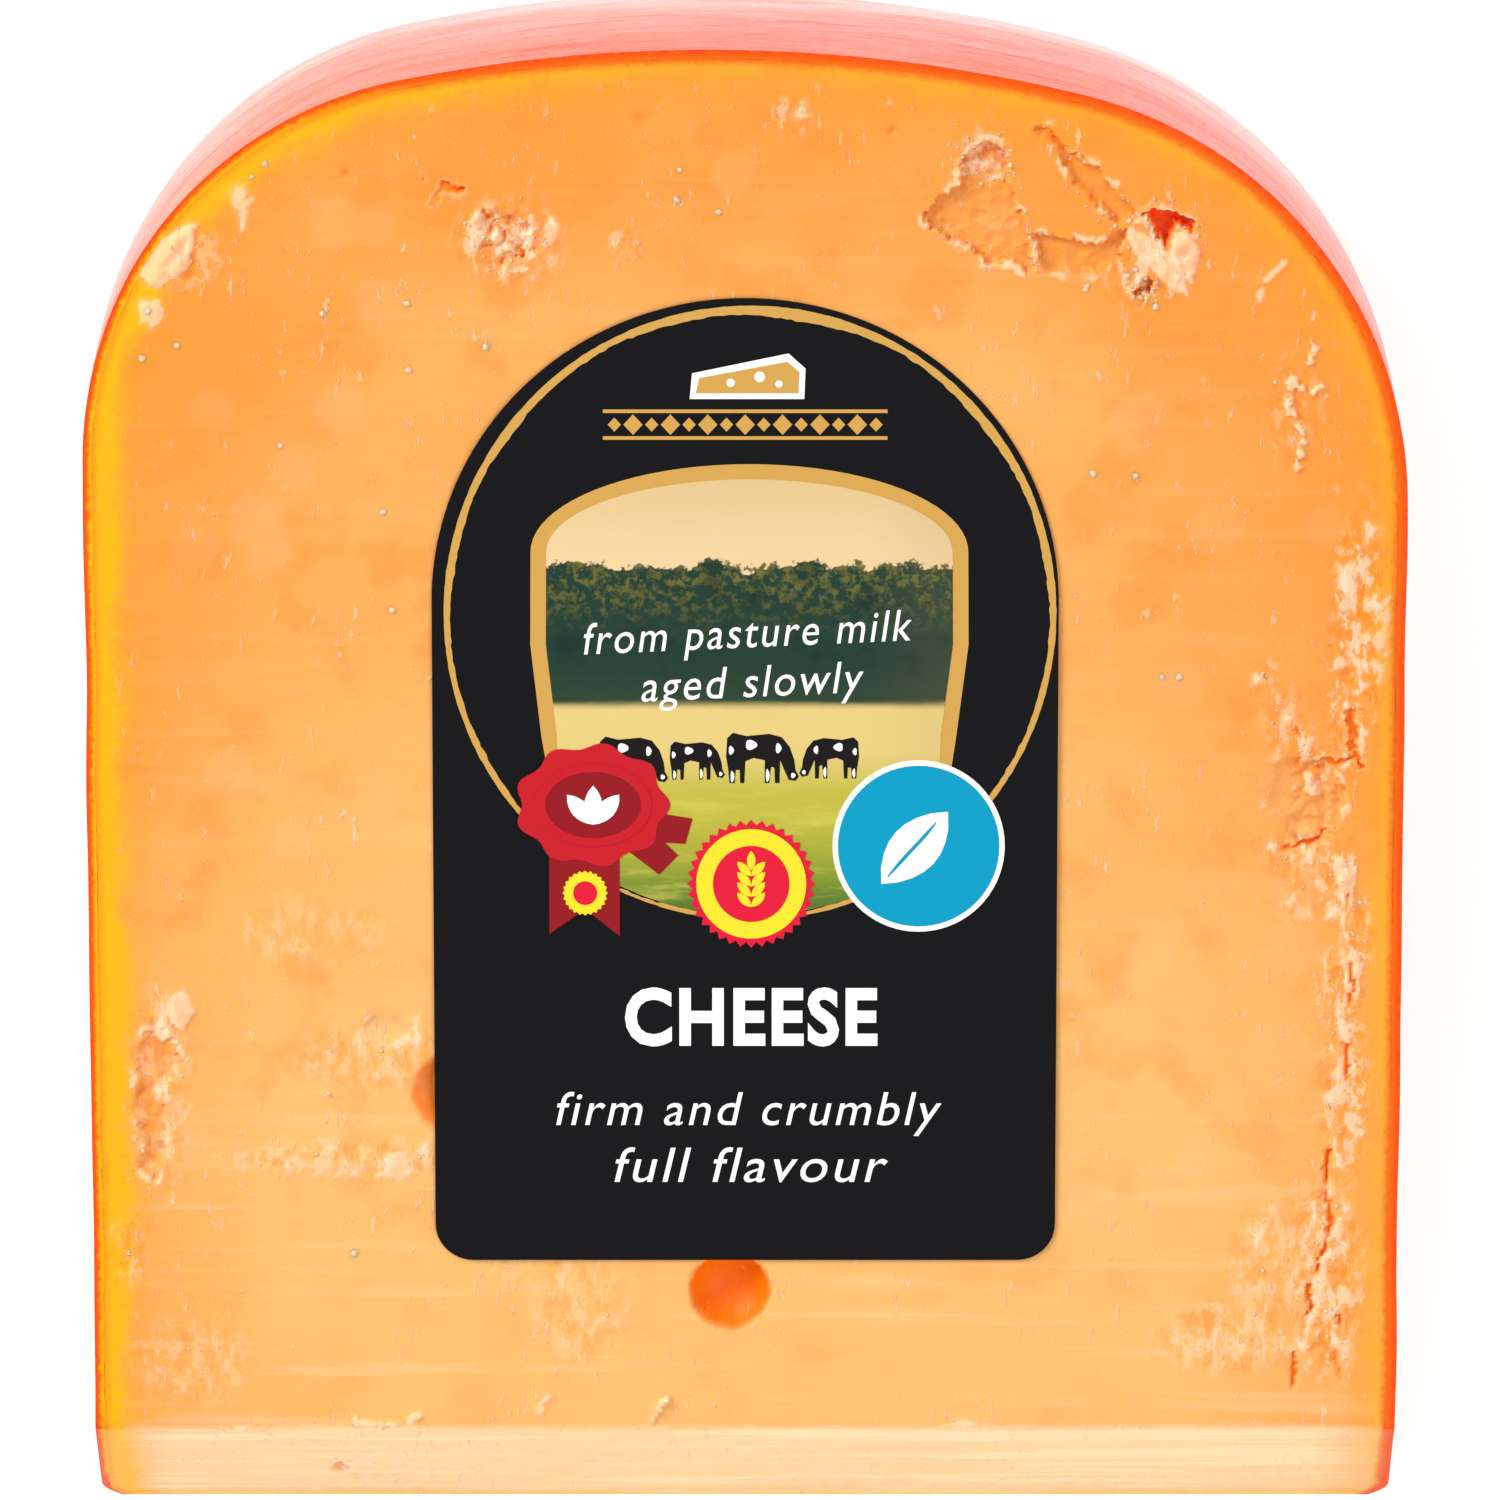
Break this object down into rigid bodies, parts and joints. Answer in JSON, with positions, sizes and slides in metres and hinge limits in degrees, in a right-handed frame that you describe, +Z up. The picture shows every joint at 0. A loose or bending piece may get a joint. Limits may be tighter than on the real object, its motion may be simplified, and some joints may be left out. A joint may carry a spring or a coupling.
{
  "type": "cheese wedge",
  "caption": "Wedge of aged yellow cheese cut from a coated wheel: a sloped cut face with an arched label, a blunt tip and a curved rim in an orange-red coat.",
  "frame": {"origin": "centre of the bounding box in plan, at the height of the cut face that the wedge lies on", "axes": "+Z up, square to the lower cut face; +Y from the blunt tip to the rim; +X to the right, along the wheel's axis, for someone who looks down with the rim at the far side"},
  "size_m": [0.11, 0.128, 0.0494],
  "materials": {
    "cheese": "waxy, slightly moist cut cheese",
    "coat": "glossy brushed-on plastic coat with fine wrinkles",
    "label": "satin printed film, black with gold"
  },
  "bodies": {
    "root": {"cheese_paste": "cheese", "rind_coat": "coat", "front_label": "label"}
  },
  "joints": []
}
